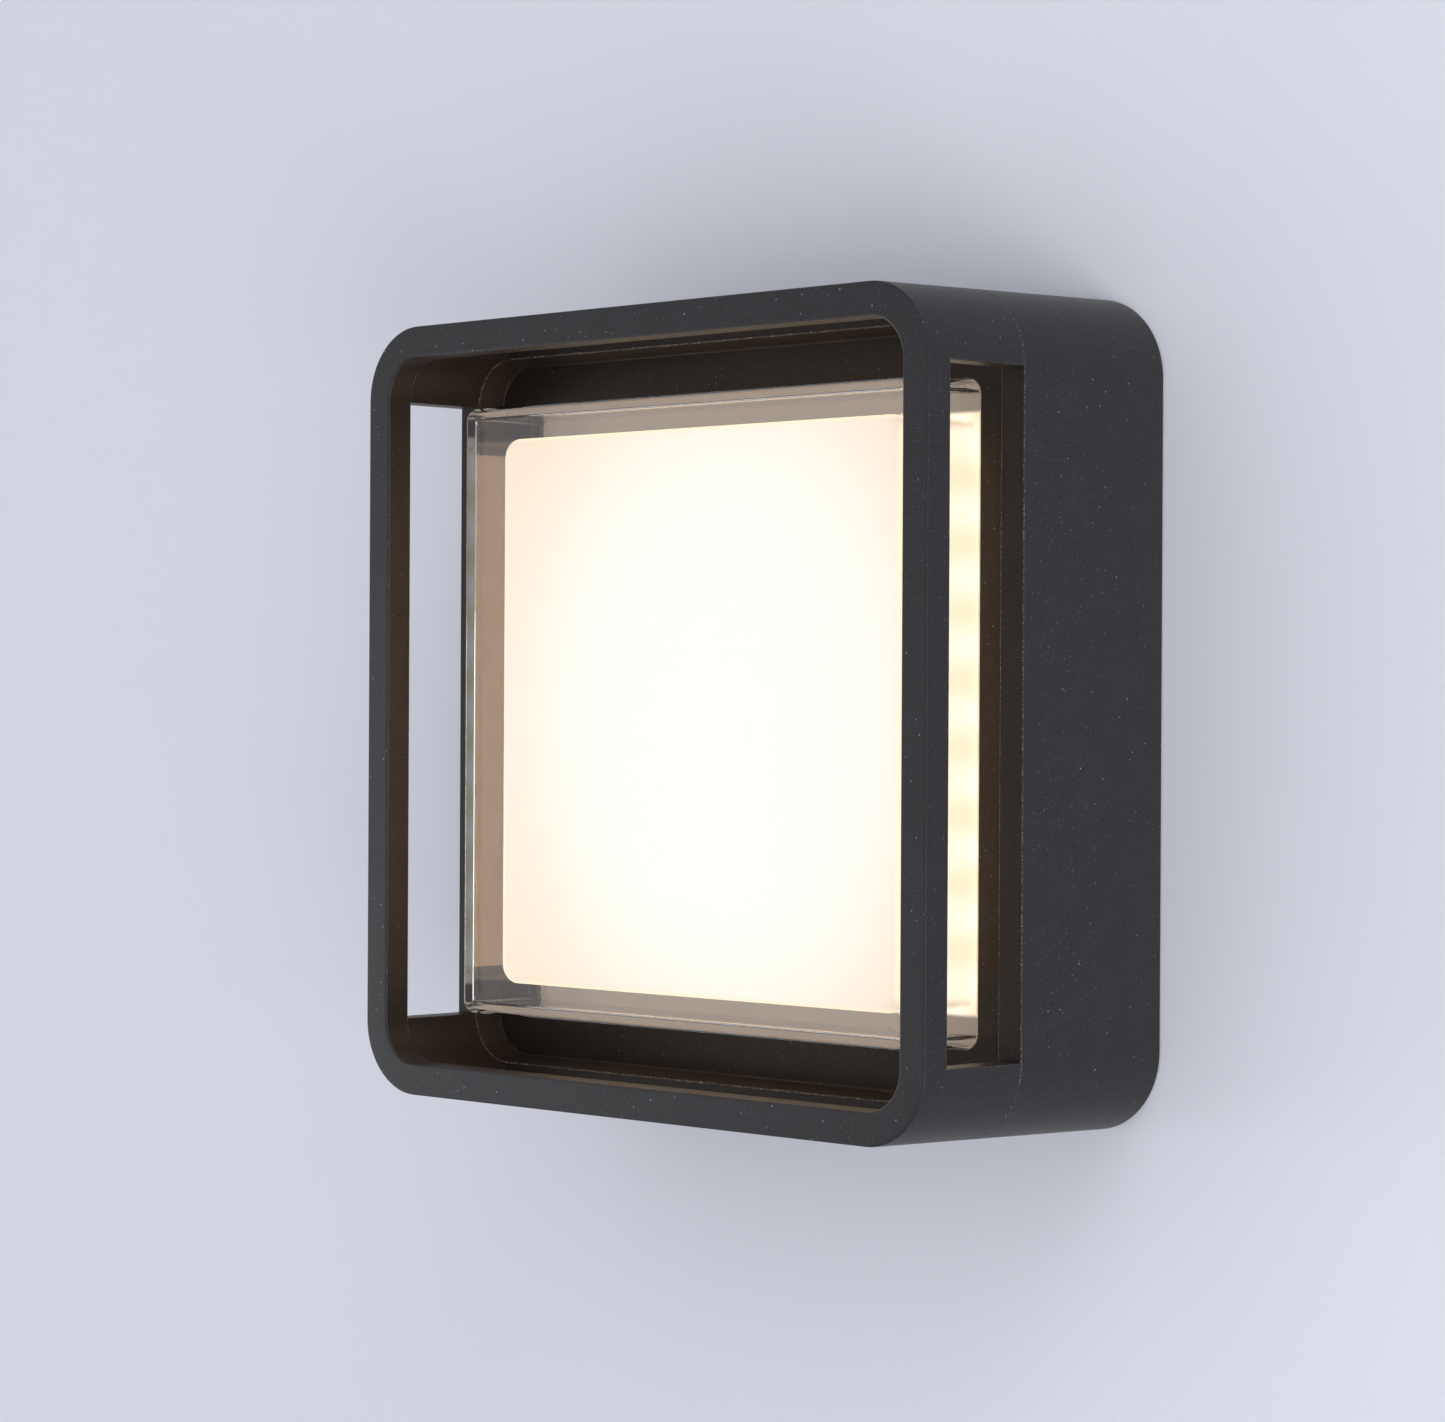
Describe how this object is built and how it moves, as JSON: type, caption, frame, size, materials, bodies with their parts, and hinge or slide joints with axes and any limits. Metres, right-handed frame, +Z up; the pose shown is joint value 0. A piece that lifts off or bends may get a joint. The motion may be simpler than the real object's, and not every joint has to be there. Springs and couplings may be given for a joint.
{
  "type": "outdoor wall lantern",
  "caption": "Square outdoor wall lantern: cast housing and open cage round a clear cover and glowing opal diffuser, on a slotted wall bracket.",
  "frame": {"origin": "centre of the wall screw pattern, on the wall plane at the back of the bracket", "axes": "+X to the right seen from the front, +Y into the wall, +Z up"},
  "size_m": [0.2032, 0.082, 0.2032],
  "materials": {
    "anthracite_coat": "matte",
    "zinc_steel": "satin",
    "screw_steel": "satin",
    "seal_foam": "matte",
    "seal_silicone": "matte",
    "clear_plastic": "gloss",
    "opal_plastic": "satin",
    "board_white": "matte",
    "led_phosphor": "satin",
    "raw_aluminium": "satin",
    "bush_rubber": "matte",
    "driver_plastic": "satin",
    "circuit_green": "satin",
    "component_body": "satin",
    "terminal_plastic": "satin",
    "brass": "satin",
    "mains_insulation": "satin",
    "earth_insulation": "satin",
    "led_insulation": "satin"
  },
  "bodies": {
    "bracket": {"wall_bracket": "zinc_steel"},
    "lamp": {"wall_gasket": "seal_foam", "rear_housing": "anthracite_coat", "front_frame": "anthracite_coat", "frame_screws": "screw_steel", "clear_cover": "clear_plastic", "cover_gasket": "seal_silicone", "opal_diffuser": "opal_plastic", "led_board": "board_white", "led_chips": "led_phosphor", "led_board_screws": "screw_steel", "gear_tray": "raw_aluminium", "tray_screws": "screw_steel", "wire_grommet": "bush_rubber", "driver_case": "driver_plastic", "driver_lid": "driver_plastic", "driver_board": "circuit_green", "driver_components": "component_body", "driver_screws": "screw_steel", "terminal_block": "terminal_plastic", "terminal_screws": "brass", "terminal_fixing_screw": "screw_steel", "earth_lug": "brass", "earth_screw": "brass", "mains_wires": "mains_insulation", "earth_wire": "earth_insulation", "led_wires": "led_insulation", "back_cover": "raw_aluminium", "back_cover_screws": "screw_steel", "cable_grommet": "bush_rubber"},
    "top_lock": {"top_locking_screw": "screw_steel"},
    "bottom_lock": {"bottom_locking_screw": "screw_steel"}
  },
  "joints": [
    {"name": "lamp_lift_off", "type": "slide", "parent": "bracket", "child": "lamp", "axis": [0, -1, 0], "range_m": [0, 0.06]},
    {"name": "top_lock_travel", "type": "slide", "parent": "lamp", "child": "top_lock", "axis": [0, 0, 1], "range_m": [0, 0.003]},
    {"name": "bottom_lock_travel", "type": "slide", "parent": "lamp", "child": "bottom_lock", "axis": [0, 0, -1], "range_m": [0, 0.003]}
  ]
}
